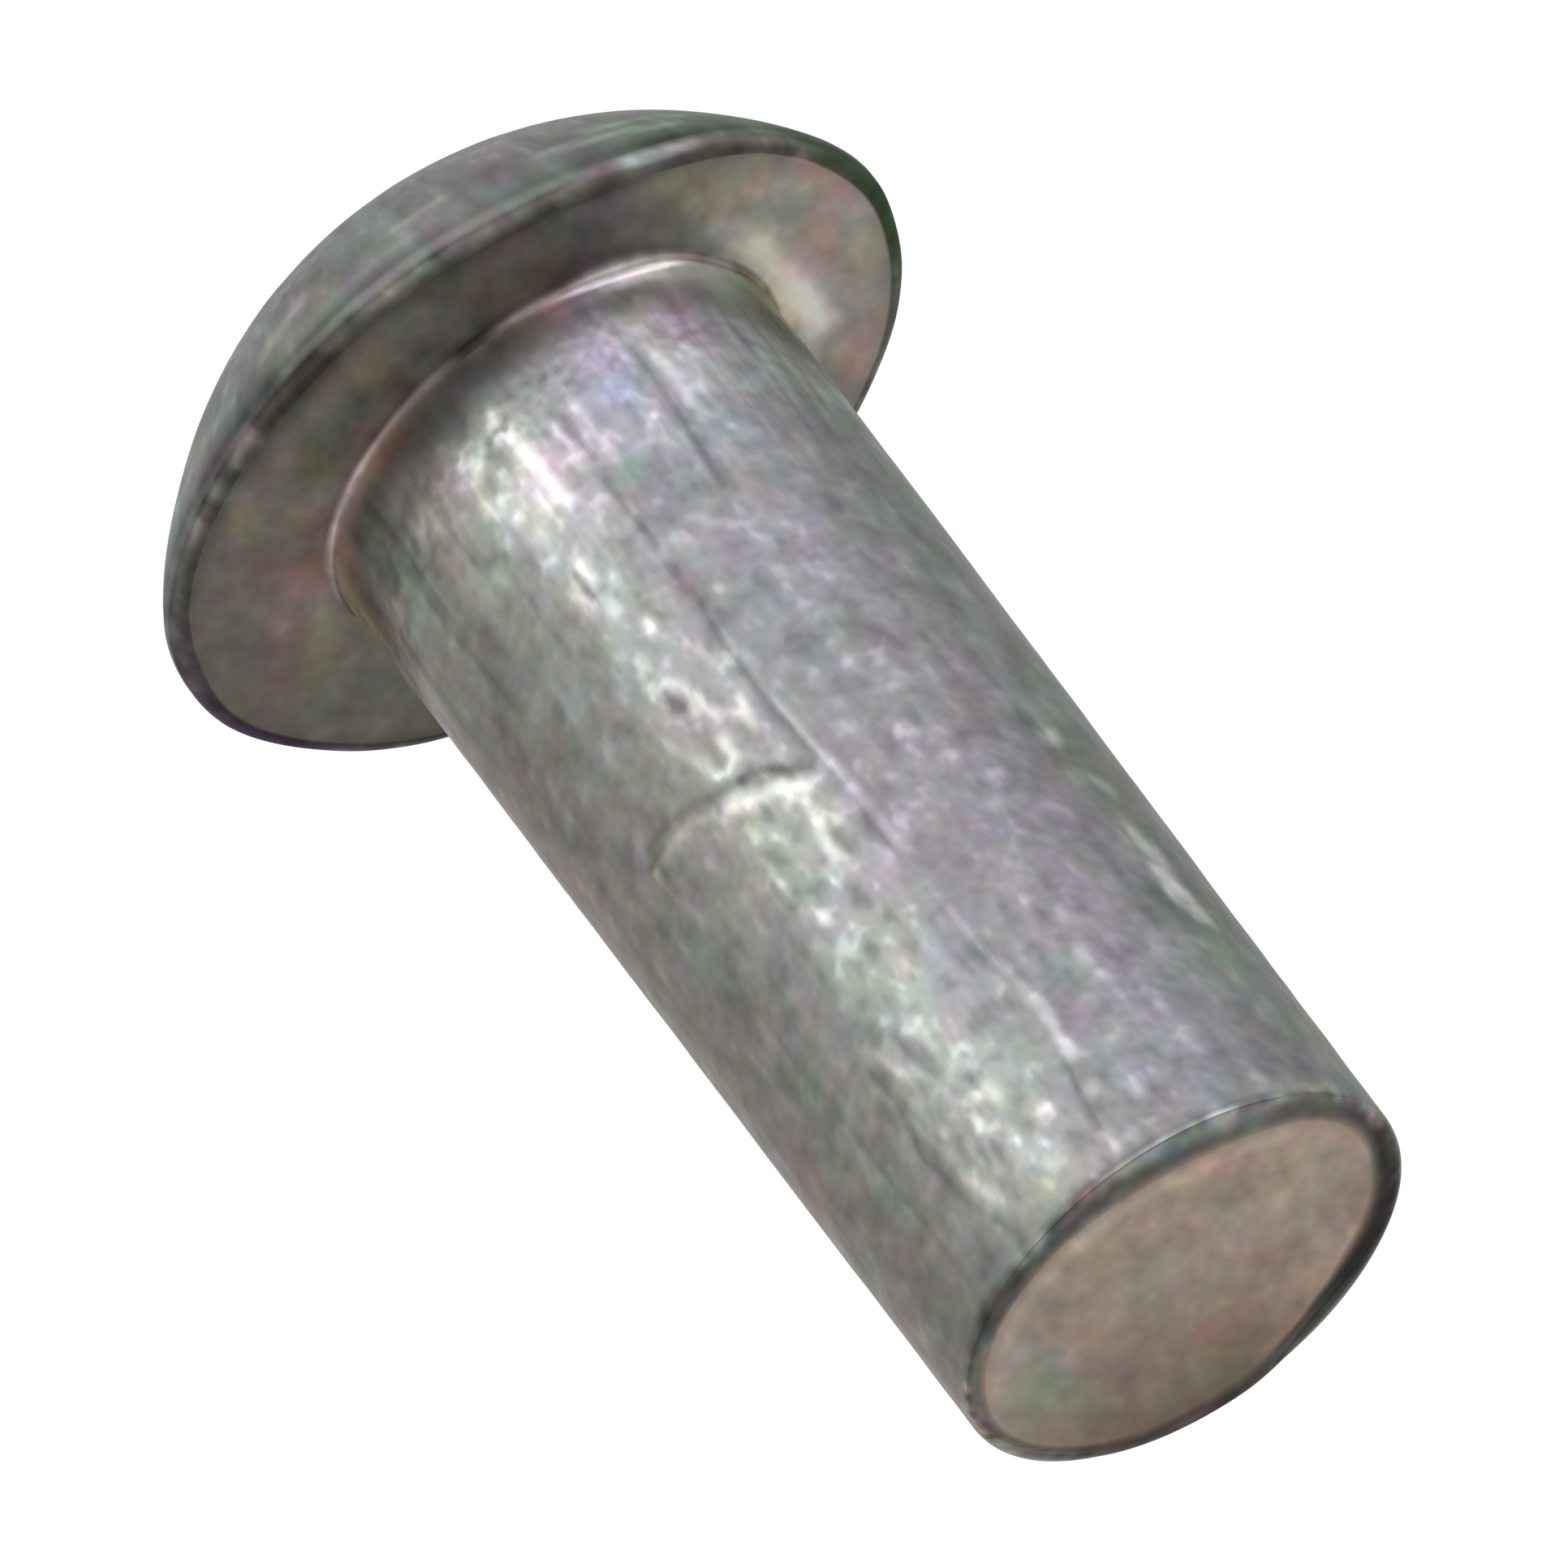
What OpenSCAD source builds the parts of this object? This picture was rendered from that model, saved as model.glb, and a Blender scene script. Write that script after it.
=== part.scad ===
// Round head rivet: a solid rivet headed cold from one piece of wire.
// A low domed head with a flat bearing face sits on a plain round shank.
// The rivet stands on the flat end of its shank with the head up, and the
// origin is the centre of that end.

/* [Shank] */
// Diameter of the shank
shank_d = 6; // [5.6:0.05:6.4]
// Length of the shank below the bearing face
shank_len = 14; // [8:0.5:30]
// Radius of the rounded edge at the free end
end_round = 0.3; // [0.05:0.05:0.6]

/* [Head] */
// Outside diameter of the head
head_d = 9.9; // [9:0.05:12]
// Height of the head from bearing face to crown
head_h = 3.2; // [2.8:0.05:4]
// Height of the narrow band between bearing face and dome
rim_h = 0.3; // [0.25:0.05:0.6]
// Radius of the edge between bearing face and band
rim_round = 0.2; // [0.05:0.05:0.2]
// Radius of the fillet where the shank meets the bearing face
neck_round = 0.1; // [0.05:0.05:0.3]

/* [Hidden] */
$fn = 96;
shank_r = shank_d / 2;
head_r = head_d / 2;
dome_h = head_h - rim_h;
// radius of the sphere through the crown and the top edge of the band
dome_r = (head_r * head_r + dome_h * dome_h) / (2 * dome_h);
seat_z = shank_len;
crown_z = seat_z + head_h;

// half section of the shank, with its rounded free edge
module shank_section() {
    translate([0, end_round]) square([shank_r, seat_z - end_round + 0.1]);
    square([shank_r - end_round, seat_z]);
    translate([shank_r - end_round, end_round]) circle(end_round);
}

// ring of metal left by the header die's corner under the head
module neck_section() {
    difference() {
        translate([shank_r - 0.1, seat_z - neck_round])
            square([neck_round + 0.1, neck_round + 0.1]);
        translate([shank_r + neck_round, seat_z - neck_round])
            circle(neck_round);
    }
}

// half section of the head: flat bearing face, band and dome
module head_section() {
    intersection() {
        union() {
            translate([0, seat_z]) square([head_r - rim_round, head_h]);
            translate([0, seat_z + rim_round])
                square([head_r, head_h - rim_round]);
            translate([head_r - rim_round, seat_z + rim_round])
                circle(rim_round);
        }
        translate([0, crown_z - dome_r]) circle(dome_r);
    }
}

// the whole rivet
module rivet() {
    color([0.62, 0.62, 0.60])
    rotate_extrude() {
        intersection() {
            square([head_r + 1, crown_z + 1]);
            union() {
                shank_section();
                neck_section();
                head_section();
            }
        }
    }
}

rivet();
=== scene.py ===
"""Looks of the round head rivet, in the CAD model's frame: metres, origin at the centre of the
shank's free end, +Z towards the head.

The rivet stands on the end of its shank. The view that matters shows the underside of the head and
that end face, so the camera looks up at it from 30 degrees below, through a floor that shows only
from above. Lengths are in millimetres until vertices are written."""

import math

import bpy
import numpy as np
from mathutils import Matrix, Vector


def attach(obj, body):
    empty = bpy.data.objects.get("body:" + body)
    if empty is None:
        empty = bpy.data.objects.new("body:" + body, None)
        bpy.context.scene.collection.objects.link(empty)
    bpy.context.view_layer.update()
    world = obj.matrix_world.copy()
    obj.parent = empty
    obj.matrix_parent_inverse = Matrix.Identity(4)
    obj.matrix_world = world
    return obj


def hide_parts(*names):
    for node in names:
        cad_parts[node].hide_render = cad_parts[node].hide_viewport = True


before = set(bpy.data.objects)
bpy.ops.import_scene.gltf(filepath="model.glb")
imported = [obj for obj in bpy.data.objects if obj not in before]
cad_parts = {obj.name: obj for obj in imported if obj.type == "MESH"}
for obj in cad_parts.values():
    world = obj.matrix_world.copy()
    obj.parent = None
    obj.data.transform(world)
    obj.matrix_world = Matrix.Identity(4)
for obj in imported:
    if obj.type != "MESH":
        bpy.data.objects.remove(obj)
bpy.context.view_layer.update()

MM = 0.001
SHANK_R = 3.0  # mean radius
SEAT_Z = 14.0  # bearing face
CROWN_Z = 17.2
HEAD_R = 4.942
RIM_TOP = 0.28  # height of the rim band
TAPER = 0.0265  # the shank's radius is this much over the mean at the head and under it at the end
HEAD_SHIFT = -0.133  # the head sits this far off the shank's axis, along X


# ---------------------------------------------------------------- noise in numpy
def _hash(ix, iy, iz, seed):
    h = (
        ix.astype(np.int64) * 374761393
        + iy.astype(np.int64) * 668265263
        + iz.astype(np.int64) * 2147483647
        + seed * 1274126177
    ) & 0xFFFFFFFF
    h = ((h ^ (h >> 13)) * 1274126177) & 0xFFFFFFFF
    h = ((h ^ (h >> 16)) * 2246822519) & 0xFFFFFFFF
    return ((h ^ (h >> 15)) & 0xFFFFFF) / float(0xFFFFFF) * 2.0 - 1.0


def noise(x, y, z, seed):
    """Smooth value noise from -1 to 1, one lattice cell per unit."""
    x, y, z = (np.asarray(v, float) for v in (x, y, z))
    ix, iy, iz = np.floor(x), np.floor(y), np.floor(z)
    fx, fy, fz = x - ix, y - iy, z - iz
    fx, fy, fz = (f * f * f * (f * (f * 6 - 15) + 10) for f in (fx, fy, fz))
    out = 0.0
    for dx in (0, 1):
        for dy in (0, 1):
            for dz in (0, 1):
                w = (
                    (fx if dx else 1 - fx)
                    * (fy if dy else 1 - fy)
                    * (fz if dz else 1 - fz)
                )
                out = out + w * _hash(ix + dx, iy + dy, iz + dz, seed)
    return out


def fbm(x, y, z, seed, octaves=3):
    total, amp, norm = 0.0, 1.0, 0.0
    for k in range(octaves):
        total = total + amp * noise(x * 2**k, y * 2**k, z * 2**k, seed + 17 * k)
        norm += amp
        amp *= 0.5
    return total / norm


def smooth(lo, hi, v):
    t = np.clip((v - lo) / (hi - lo), 0.0, 1.0)
    return t * t * (3 - 2 * t)


def bell(d, w):
    return np.exp(-((d / w) ** 2))


def wrap(d):
    """An angle difference in degrees, from -180 to 180."""
    return (d + 180.0) % 360.0 - 180.0


def knots(a, pts):
    """Smooth closed curve over the angle through given (angle, value) points."""
    pts = sorted(pts)
    x = np.array([p[0] for p in pts], float)
    v = np.array([p[1] for p in pts], float)
    x = np.concatenate([[x[-1] - 360], x, [x[0] + 360]])
    v = np.concatenate([[v[-1]], v, [v[0]]])
    grid = np.linspace(-180, 180, 721)
    y = np.interp(grid, x, v)
    k = bell(np.arange(-16, 17) * 0.5, 4.0)
    y = np.convolve(np.concatenate([y[-17:-1], y, y[1:17]]), k / k.sum(), "valid")
    return np.interp(wrap(a), grid, y)


# ---------------------------------------------------------------- columns around the axis
# Angle about Z in degrees, 0 towards -Y and 90 towards +X. Columns are closer together on the -Y
# side, which is the side that the main view shows.
FRONT, BACK = 232, 124
front = np.linspace(-96, 96, FRONT, endpoint=False)
back = np.linspace(96, 264, BACK, endpoint=False)
ANG = wrap(np.concatenate([front, back]))
RAD = np.radians(ANG)
N = len(ANG)
cosa, sina = np.cos(RAD), np.sin(RAD)


def ring_noise(k, seed, s=0.0):
    """Noise around the axis with about 6 k features a turn."""
    return noise(k * cosa + 7.3, k * sina + 3.1, s + 0.5, seed)


# The sheared end: a flat face, a shallow dark band around it, then the side. Flats on either side
# of a corner at the back come from the shear.
face_r = knots(ANG, [(-180, 2.46), (-150, 2.50), (-120, 2.58), (-90, 2.71), (-60, 2.74), (-40, 2.71), (-20, 2.60), (0, 2.43), (18, 2.35), (32, 2.39), (46, 2.50), (62, 2.63), (76, 2.62), (90, 2.56), (112, 2.43), (130, 2.28), (141, 2.25), (152, 2.27), (166, 2.35)])
band_r = knots(ANG, [(-180, 2.885), (-165, 2.87), (-150, 2.855), (-139, 2.83), (-129, 2.76), (-118, 2.77), (-110, 2.79), (-98, 2.85), (-88, 2.90), (-75, 2.955), (-50, 2.964), (0, 2.964), (50, 2.964), (75, 2.95), (90, 2.88), (100, 2.84), (110, 2.81), (122, 2.81), (130, 2.77), (140, 2.66), (150, 2.55), (160, 2.57), (170, 2.68)])
core_r = knots(ANG, [(-180, 2.50), (-160, 2.50), (-150, 2.56), (-140, 2.66), (-130, 2.70), (-110, 2.76), (-95, 2.84), (-80, 2.86), (-60, 2.90), (-40, 2.91), (-20, 2.79), (0, 2.67), (20, 2.57), (40, 2.58), (52, 2.68), (64, 2.81), (80, 2.80), (90, 2.73), (100, 2.67), (120, 2.60), (130, 2.54), (141, 2.47), (150, 2.41), (160, 2.42)])  # where it is darkest
band_h = 0.055 + 0.015 * cosa
# where the head grows out of the shank
neck_r = 3.018 + 0.085 * bell(wrap(ANG + 36), 42) + 0.006 * ring_noise(6.0, 16)
# the head's outline isn't quite round
head_r = knots(ANG, [(-180, 4.95), (-150, 4.96), (-140, 4.97), (-130, 4.92), (-120, 4.87), (-110, 4.89), (-98, 4.945), (-86, 4.97), (-76, 5.01), (-66, 5.04), (-50, 5.05), (-38, 5.04), (-28, 5.02), (-15, 5.0), (0, 4.97), (12, 4.88), (22, 4.84), (32, 4.85), (44, 4.90), (56, 4.97), (70, 4.98), (80, 4.965), (90, 4.975), (100, 4.93), (110, 4.945), (120, 4.935), (130, 4.90), (140, 4.92)])
head_r = head_r + 0.012 * ring_noise(1.5, 13) + 0.006 * ring_noise(6.0, 15)
edge_round = 0.20 + 0.06 * smooth(60, 100, np.abs(ANG)) + 0.04 * ring_noise(3.0, 14)
DOME_FULL = 0.05  # how much fuller the dome is than an arc of a circle


flare = 0.043 * smooth(-34, -6, ANG) * (1 - smooth(46, 72, ANG)) * (np.abs(ANG) < 100)
root = 0.078 * bell(ANG - 40, 19)  # and the junction itself stands out at the right front
neck_r = neck_r + flare + root


def shank_r(z):
    """Radius of each column at height z (one height for all, or one each)."""
    s = SEAT_Z - z
    r = SHANK_R + TAPER * (1 - 2 * s / SEAT_Z)
    reach = 0.13 + 0.03 * cosa
    t = np.clip((z - band_h) / reach, 0, 1)
    r = r - (SHANK_R - TAPER - band_r) * (1 - t) ** 2.2
    # in front the shank swells a little just under the head
    r = r + flare * (1 - smooth(0.30, 1.15, s))
    return r + (neck_r - 0.005 - SHANK_R - TAPER - flare - root) * (1 - smooth(0.03, 0.9, s)) + root * np.clip((0.34 - s) / 0.30, 0, 1)


# ---------------------------------------------------------------- marks on the shank
# Each mark is a stroke along points (angle, distance below the head), with a half width in mm, a
# relief in micrometres and a brightness factor. Bright ones are rubbed, raised metal, and their
# brightness is also a painted highlight of the light they catch; dark ones are pits and scratches
# that hold dirt, painted darker for their shade as well.
MARKS = [
    # bright draw streaks under the head
    ([(-7.5, 0.85), (-6, 1.4), (-6, 2.0), (-4.5, 2.45)], 0.085, 6, 1.75),
    ([(-20, 1.05), (-17, 1.25)], 0.085, 5, 1.45),
    ([(-21, 1.65), (-20, 1.95)], 0.06, 4, 1.35),
    ([(-14, 0.9), (-13.5, 1.15)], 0.05, 4, 1.3),
    ([(9, 0.95), (9, 1.6), (9, 2.0), (8.5, 2.35)], 0.06, 5, 1.45),
    ([(16.5, 0.95), (18.5, 1.25)], 0.055, 4, 1.35),
    ([(18, 1.5), (18.3, 1.7)], 0.05, 4, 1.4),
    ([(17.5, 2.35), (19, 2.2), (21.5, 2.1)], 0.055, 4, 1.45),
    ([(2.5, 1.5), (3.5, 2.0)], 0.045, 4, 1.35),
    ([(30, 2.1), (32, 1.95)], 0.05, 3, 1.3),
    ([(35, 1.2), (36, 1.45)], 0.08, 3, 1.2),
    ([(35.5, 2.0), (38, 1.7)], 0.05, 3, 1.3),
    # dark ones beside them
    ([(27.5, 1.1), (27.2, 1.7), (26.5, 2.5), (25, 3.3)], 0.06, -7, 0.62),
    ([(-13, 1.2), (-11, 1.6)], 0.11, -4, 0.75),
    ([(-17, 1.55), (-14.5, 1.8)], 0.12, -4, 0.80),
    ([(0, 0.9), (1.5, 1.3)], 0.10, -3, 0.82),
    ([(5.5, 1.5), (5.5, 2.2)], 0.05, -5, 0.75),
    ([(-0.5, 2.1), (0.5, 2.3)], 0.10, -4, 0.75),
    ([(4.5, 2.5), (4.5, 3.0), (4.8, 3.6)], 0.06, -6, 0.66),
    ([(14.5, 2.7), (14.8, 2.95)], 0.07, -5, 0.70),
    ([(-28, 2.2), (-25, 2.35)], 0.07, -4, 0.78),
    ([(55, 1.15), (56.5, 1.35)], 0.11, -5, 0.72),
    ([(-47, 1.0), (-47.5, 1.8), (-47.8, 2.6), (-47, 3.6)], 0.085, -9, 0.70),
    ([(-44.5, 0.4), (-44, 3.0), (-44, 6.0)], 0.045, 4, 1.14),
    ([(-44, 8.0), (-43, 11.0), (-42.5, 13.8)], 0.05, -6, 0.86),
    # white blobs, painted glints
    ([(-11.6, 3.2), (-11.3, 3.45)], 0.095, 8, 1.85),
    ([(-16.4, 3.42), (-15.4, 3.68)], 0.085, 8, 1.70),
    ([(-11.2, 3.78), (-11.0, 3.98)], 0.085, 7, 1.65),
    ([(-13.8, 3.2), (-13.5, 3.75)], 0.035, -8, 0.55),
    ([(-8, 4.35), (-8, 4.5)], 0.085, 7, 1.55),
    ([(-7.5, 3.6), (-7, 3.75)], 0.055, 4, 1.30),
    ([(-16, 2.14), (-15.2, 2.16)], 0.06, 5, 1.35),
    ([(-15.6, 2.5), (-14.6, 2.62)], 0.065, 5, 1.35),
    ([(-15.3, 2.85), (-15, 3.0)], 0.05, 4, 1.25),
    ([(-30, 2.42), (-27.5, 2.62)], 0.045, 4, 1.22),
    ([(-20.5, 4.5), (-19.8, 4.62)], 0.06, 5, 1.35),
    ([(11.5, 3.8), (12, 3.9)], 0.06, 4, 1.30),
    ([(26, 4.25), (26.5, 4.38)], 0.06, 4, 1.25),
    ([(-37.5, 4.2), (-38, 4.6)], 0.08, -3, 0.82),
    ([(-5.5, 4.0), (-5, 4.2)], 0.09, -5, 0.66),
    ([(3.8, 3.95), (4.3, 4.35)], 0.13, -5, 0.68),
    ([(-23, 4.05), (-22, 4.2)], 0.07, -4, 0.72),
    # curl above the tongue
    ([(-15.5, 5.05), (-12.5, 5.12), (-9.8, 5.33), (-8.6, 5.58), (-10.6, 5.66)], 0.065, 7, 1.85),
    ([(-9, 5.5), (-8, 5.75), (-7, 5.92)], 0.065, 6, 1.75),
    ([(-14, 5.3), (-12.5, 5.5)], 0.09, -5, 0.78),
    ([(-13.5, 5.85), (-12.5, 6.0)], 0.10, -4, 0.78),
    ([(-17.2, 6.2), (-16.4, 6.48), (-13, 6.58), (-9.8, 6.45), (-9.6, 6.2)], 0.07, 6, 1.75),
    ([(-13.2, 6.2), (-13, 6.4)], 0.07, -5, 0.76),
    ([(-2.6, 6.1), (-2.2, 6.25)], 0.09, 5, 1.55),
    ([(-1, 5.05), (-0.8, 5.3)], 0.05, 4, 1.25),
    ([(-20.5, 5.7), (-20.2, 5.95)], 0.05, 4, 1.20),
    ([(-27, 5.05), (-26.5, 5.2)], 0.07, -4, 0.74),
    # tongue: a lap, with painted shade in the dark line above it and a painted highlight on its bright lip
    ([(-41, 6.36), (-33, 6.40), (-25, 6.52), (-18, 6.66), (-12, 6.78)], 0.085, -5, 0.66),
    ([(-12, 6.74), (-7, 6.84), (-3, 6.98)], 0.055, -5, 0.66),
    ([(-5, 6.93), (-2, 7.06), (1, 7.18), (2.4, 7.22)], 0.085, -6, 0.55),
    ([(-43, 6.60), (-35, 6.57), (-28, 6.64), (-22, 6.83)], 0.055, 5, 1.42),
    ([(-19, 6.92), (-14, 7.00), (-9, 7.10), (-5, 7.22), (-1, 7.38)], 0.105, 6, 1.95),
    ([(-6, 7.20), (0, 7.40), (3.5, 7.40)], 0.045, 4, 1.45),
    ([(-43.5, 6.65), (-43, 7.0), (-40.5, 7.5)], 0.055, 5, 1.40),
    ([(-3, 7.55), (-3.8, 7.9), (-5.3, 8.35)], 0.070, 7, 1.75),
    ([(-8.6, 8.45), (-8.9, 8.6)], 0.070, 6, 1.35),
    ([(-19, 8.6), (-17.5, 8.68), (-16, 8.9)], 0.060, 6, 1.38),
    ([(-15.8, 9.28), (-15.2, 9.42)], 0.075, 6, 1.45),
    ([(-17.6, 7.3), (-17.0, 7.48)], 0.065, 5, 1.35),
    ([(-18.5, 7.75), (-19, 8.2)], 0.050, 4, 1.22),
    ([(-24.5, 7.8), (-24, 7.95)], 0.055, 4, 1.20),
    ([(-29.5, 8.2), (-29, 8.35)], 0.055, 4, 1.20),
    ([(-42.5, 8.4), (-42, 8.7)], 0.060, 4, 1.18),
    ([(-2, 8.1), (-1.5, 8.4)], 0.075, -6, 0.68),
    ([(-7, 8.75), (-6, 9.1)], 0.080, -4, 0.78),
    # long fine seam, dark on its left and bright on its right
    ([(5, 4.4), (3.5, 5.2), (3.5, 6.2), (4.3, 6.9), (5.4, 7.5), (5.4, 8.3), (6.2, 8.9)], 0.045, -13, 0.72),
    ([(6.2, 8.9), (6.6, 9.8), (7.2, 10.6), (8.6, 11.3)], 0.045, -4, 0.93),
    ([(8.8, 12.1), (7.4, 12.5), (6.0, 12.9), (5.4, 13.3)], 0.055, -9, 0.68),
    ([(6.6, 5.4), (6.7, 5.65)], 0.060, 6, 1.32),
    ([(5.0, 6.2), (6.0, 6.8), (6.9, 7.3), (7.4, 7.7), (8.0, 8.1), (8.5, 8.85)], 0.045, 8, 1.42),
    ([(8.0, 9.8), (8.5, 10.45), (10, 10.95), (11.0, 11.4)], 0.042, 7, 1.36),
    ([(11.1, 11.45), (11.3, 11.7), (10.4, 12.0), (9.6, 12.3)], 0.075, 10, 1.95),
    ([(9, 12.8), (9.4, 12.92)], 0.095, 7, 1.70),
    ([(6.4, 13.4), (6.0, 13.65)], 0.070, 5, 1.32),
    ([(6, 11.25), (6.3, 11.4)], 0.085, -7, 0.60),
    ([(17.0, 13.02), (17.6, 13.2)], 0.075, 5, 1.50),
    # right of the seam
    ([(15.4, 6.6), (15.8, 6.7)], 0.070, 4, 1.25),
    ([(29, 6.42), (31.5, 6.28), (34, 6.15)], 0.050, 5, 1.30),
    ([(31.2, 6.6), (32, 6.7)], 0.075, 3, 1.14),
    ([(30, 5.5), (32.5, 5.36), (36, 5.15)], 0.045, 3, 1.18),
    ([(27, 8.02), (28.2, 7.92)], 0.055, 4, 1.28),
    ([(34.8, 8.12), (36.3, 8.0)], 0.060, 4, 1.28),
    ([(26, 7.4), (26.6, 7.5)], 0.060, 3, 1.16),
    ([(42, 8.2), (45, 7.9), (48, 7.4)], 0.045, 3, 1.16),
    ([(40, 8.75), (43.5, 8.5), (46, 8.2)], 0.045, 3, 1.18),
    ([(50, 6.8), (49.5, 6.5), (51, 6.2)], 0.050, 3, 1.14),
    ([(32, 10.25), (33, 10.35)], 0.070, 5, 1.34),
    ([(26.4, 11.12), (26.8, 11.25)], 0.085, 6, 1.48),
    ([(29.5, 10.65), (30, 10.75)], 0.070, 3, 1.16),
    ([(28, 12.85), (33, 12.7), (37, 12.58)], 0.045, 4, 1.26),
    ([(21.5, 9.9), (22, 10.0)], 0.070, 3, 1.14),
    ([(19.5, 7.3), (20, 7.55)], 0.085, -4, 0.78),
    ([(13.4, 7.95), (13.8, 8.05)], 0.055, -5, 0.72),
    ([(23, 6.5), (23.4, 6.6)], 0.075, -4, 0.76),
    ([(35, 6.1), (37.5, 6.25)], 0.095, -4, 0.76),
    ([(23.5, 5.5), (24.5, 5.7)], 0.100, -3, 0.82),
    ([(56, 5.95), (58, 5.8)], 0.085, -4, 0.74),
    ([(42.5, 7.6), (44.5, 7.9)], 0.070, -3, 0.80),
    ([(24.5, 8.15), (26, 8.2)], 0.060, -3, 0.82),
    ([(22, 8.7), (23.5, 9.05)], 0.080, -3, 0.80),
    ([(36, 8.7), (37.5, 8.6)], 0.080, -3, 0.80),
    ([(20.3, 11.3), (21, 11.5)], 0.085, -4, 0.74),
    ([(24, 10.3), (25, 10.5)], 0.110, -3, 0.80),
    ([(56, 4.4), (60, 4.0), (63, 3.4)], 0.070, -3, 0.86),
    # rubbed flats at the right, with painted highlights where they catch the light
    ([(57.6, 8.05), (58.6, 8.0)], 0.11, -12, 1.60),
    ([(62, 8.7), (64.5, 8.9)], 0.10, -10, 1.60),
    ([(58.8, 7.95), (59.4, 8.1)], 0.08, -8, 1.55),
    ([(61.5, 9.62), (62.6, 9.92)], 0.14, -16, 2.70),
    ([(60.3, 10.3), (61.5, 10.62)], 0.12, -14, 2.40),
    ([(61.5, 10.65), (63.8, 10.98)], 0.13, -16, 2.70),
    ([(57.5, 12.1), (60, 12.05)], 0.10, -9, 1.42),
    ([(59.5, 12.75), (61.5, 12.55)], 0.11, -10, 1.52),
    ([(55.5, 10.45), (56.5, 10.85)], 0.15, -4, 0.66),
    ([(70, 9.6), (70, 10.6)], 0.14, -3, 0.80),
    # raised strip low on the left, its bright edges painted highlights
    ([(-26.3, 10.5), (-24.6, 10.85), (-22.8, 11.12)], 0.060, 9, 1.45),
    ([(-29, 11.55), (-27.5, 12.0), (-26.5, 12.3)], 0.050, 5, 1.24),
    ([(-26.2, 12.6), (-24.8, 12.85), (-23.8, 13.02), (-22.4, 13.2)], 0.065, 9, 1.50),
    ([(-25, 11.4), (-24.6, 11.5)], 0.080, 5, 1.24),
    ([(-29.5, 10.7), (-28.6, 11.3), (-31.5, 12.0), (-29.5, 12.8), (-26, 13.4), (-23.5, 13.9)], 0.060, -10, 0.72),
    ([(-22.6, 10.35), (-21.8, 10.5)], 0.075, -7, 0.66),
    ([(-19.4, 10.65), (-18.2, 11.1), (-17, 11.4)], 0.055, -8, 0.72),
    ([(-17, 10.62), (-15, 10.72), (-13.2, 10.74)], 0.075, 7, 1.38),
    ([(-14.5, 10.9), (-13.5, 11.15)], 0.050, 5, 1.24),
    ([(-12, 11.4), (-10.2, 11.6), (-7, 11.76)], 0.070, 7, 1.40),
    ([(-9.3, 11.95), (-8.6, 12.15)], 0.090, 8, 1.55),
    ([(-18, 11.65), (-16.2, 11.95)], 0.050, 5, 1.22),
    ([(-16.6, 12.32), (-15.8, 12.42)], 0.060, 5, 1.28),
    ([(-11, 12.6), (-10.8, 12.8)], 0.050, 4, 1.24),
    ([(-1.8, 12.68), (-1.0, 12.74)], 0.075, 6, 1.52),
    ([(-12.2, 13.0), (-10, 13.2), (-7.2, 13.36)], 0.085, 7, 1.55),
    ([(-7, 12.9), (-6.6, 13.05)], 0.045, 4, 1.24),
    ([(-7.4, 10.05), (-6, 10.3)], 0.050, 5, 1.24),
    ([(-12.6, 10.32), (-12, 10.42)], 0.055, 5, 1.30),
    ([(-0.8, 10.0), (-0.5, 10.2)], 0.045, 4, 1.20),
    ([(-19.6, 12.5), (-19.2, 12.75)], 0.065, -6, 0.72),
    ([(-14.5, 11.95), (-14, 12.15)], 0.080, -5, 0.76),
    ([(-11.5, 11.72), (-10.8, 11.85)], 0.060, -5, 0.74),
    ([(-34, 13.35), (-33, 13.5)], 0.090, -4, 0.72),
    ([(-51, 9.6), (-50, 10.3)], 0.120, -3, 0.84),
    ([(-60, 11.4), (-57, 11.8)], 0.120, -3, 0.84),
    ([(-33, 11.0), (-32, 11.5)], 0.090, -4, 0.80),
    ([(-46, 8.6), (-45, 8.8)], 0.090, -3, 0.82),
]
# the sides and back that the main view doesn't show carry the same kind of marks, scattered
rng = np.random.RandomState(7)
for _ in range(120):
    a, s0 = rng.uniform(88, 272), rng.uniform(0.8, 13.2)
    a = a - 360 if a > 180 else a
    bright = rng.uniform() < 0.55
    turn, reach = rng.normal(0, 2.0), rng.uniform(0.05, 0.7) ** 1.4
    w = rng.uniform(0.045, 0.10)
    MARKS.append(([(a, s0), (a + turn * reach, s0 + reach)], w, 6 if bright else -6, rng.uniform(1.2, 1.6) if bright else rng.uniform(0.66, 0.85)))
for a, s0, s1 in ((92, 0.3, 6.0), (104, 5.0, 13.6), (121, 0.3, 13.7), (139, 2.0, 9.0), (158, 0.3, 13.7), (177, 4.0, 13.6), (-170, 0.3, 5.0), (-151, 0.4, 12.0), (-133, 6.0, 13.7), (-118, 0.3, 13.7), (-101, 3.0, 11.0)):
    mid_s = (s0 + s1) / 2
    MARKS.append(([(a, s0), (a + 1.2, mid_s), (a + 0.3, s1)], 0.05, -9, 0.76))
    MARKS.append(([(a + 2, s0 + 0.5), (a + 3.0, mid_s), (a + 2.2, s1 - 0.4)], 0.045, 5, 1.2))

# ---------------------------------------------------------------- rows from the end face to the crown
# zone: 0 end face, 1 dark band around it, 2 shank, 3 neck, 4 bearing face, 5 rim, 6 dome
ones = np.ones(N)
RHO, ZED, SHIFT, ZONES = [], [], [], []


def add(rho, z, shift, zone):
    RHO.append(rho * ones)
    ZED.append(z * ones)
    SHIFT.append(shift * ones)
    ZONES.append(zone)


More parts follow.
